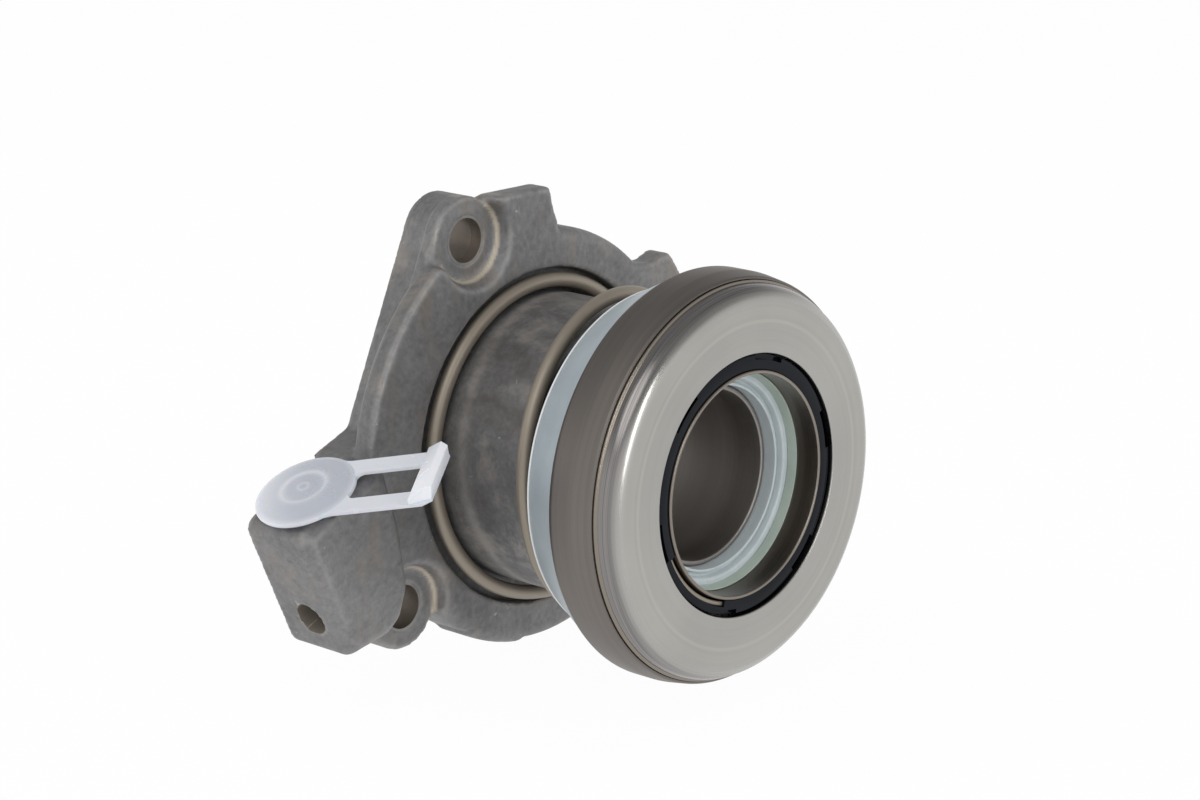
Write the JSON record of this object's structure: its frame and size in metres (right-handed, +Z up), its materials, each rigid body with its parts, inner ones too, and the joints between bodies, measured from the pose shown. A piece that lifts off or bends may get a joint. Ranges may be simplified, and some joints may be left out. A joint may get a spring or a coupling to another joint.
{
  "type": "concentric slave cylinder",
  "caption": "Hydraulic clutch release unit: cast flange with an inlet block and fixing lugs, a coil spring round its central cylinder, and a sliding self-centring release bearing.",
  "frame": {"origin": "centre of the shaft bore in the plane of the mounting face", "axes": "+Y out of the mounting face towards the gearbox, -Y towards the clutch, +Z up, as in the picture"},
  "size_m": [0.0933, 0.0498, 0.0702],
  "materials": {
    "cast_aluminium": "die cast, rough, with machined bores",
    "drawn_steel": "drawn steel, brown-grey satin",
    "sleeve_steel": "drawn steel, plain",
    "spring_steel": "oiled spring wire, satin",
    "bearing_steel": "ground bearing steel",
    "shell_steel": "pressed steel, brown-grey satin",
    "pale_plastic": "moulded, pale grey-blue",
    "white_plastic": "moulded, white",
    "green_plastic": "moulded, pale green",
    "black_plastic": "moulded, glossy black",
    "dark_plastic": "moulded, dark grey",
    "brown_plastic": "moulded, brown",
    "seal_rubber": "black seal rubber",
    "milky_plastic": "milky, slightly translucent polyethylene"
  },
  "bodies": {
    "housing_body": {"housing": "cast_aluminium", "guide_sleeve": "sleeve_steel", "sleeve_o_ring": "seal_rubber", "face_o_ring": "seal_rubber", "stop_ring": "spring_steel", "preload_spring": "spring_steel"},
    "piston_body": {"piston": "dark_plastic", "piston_seal": "seal_rubber", "carrier_tube": "drawn_steel", "guide_ring": "white_plastic", "wiper_ring": "green_plastic", "fixed_race": "bearing_steel", "bearing_shell": "shell_steel", "spring_seat": "pale_plastic", "retaining_ring": "black_plastic", "snap_ring": "spring_steel", "centring_washer": "spring_steel"},
    "contact_body": {"contact_ring": "bearing_steel", "grease_seal": "seal_rubber"},
    "cage_body": {"ball_cage": "brown_plastic", "balls": "bearing_steel"},
    "plug_body": {"port_plug": "milky_plastic"}
  },
  "joints": [
    {"name": "release_stroke", "type": "slide", "parent": "housing_body", "child": "piston_body", "axis": [0, -1, 0], "range_m": [-0.014, 0], "stiffness_N_per_m": 2500, "springref_m": 0.04, "deforming": ["preload_spring"]},
    {"name": "contact_spin", "type": "hinge", "parent": "piston_body", "child": "contact_body", "pos_m": [0, -0.0442, 0], "axis": [0, -1, 0], "continuous": true},
    {"name": "cage_spin", "type": "hinge", "parent": "piston_body", "child": "cage_body", "pos_m": [0, -0.0442, 0], "axis": [0, -1, 0], "continuous": true},
    {"name": "plug_pull", "type": "slide", "parent": "housing_body", "child": "plug_body", "axis": [-0.4384, 0, 0.8988], "range_m": [0, 0.03]}
  ],
  "couplings": [
    {"joint": "cage_spin", "follows": "contact_spin", "ratio": 0.536}
  ]
}
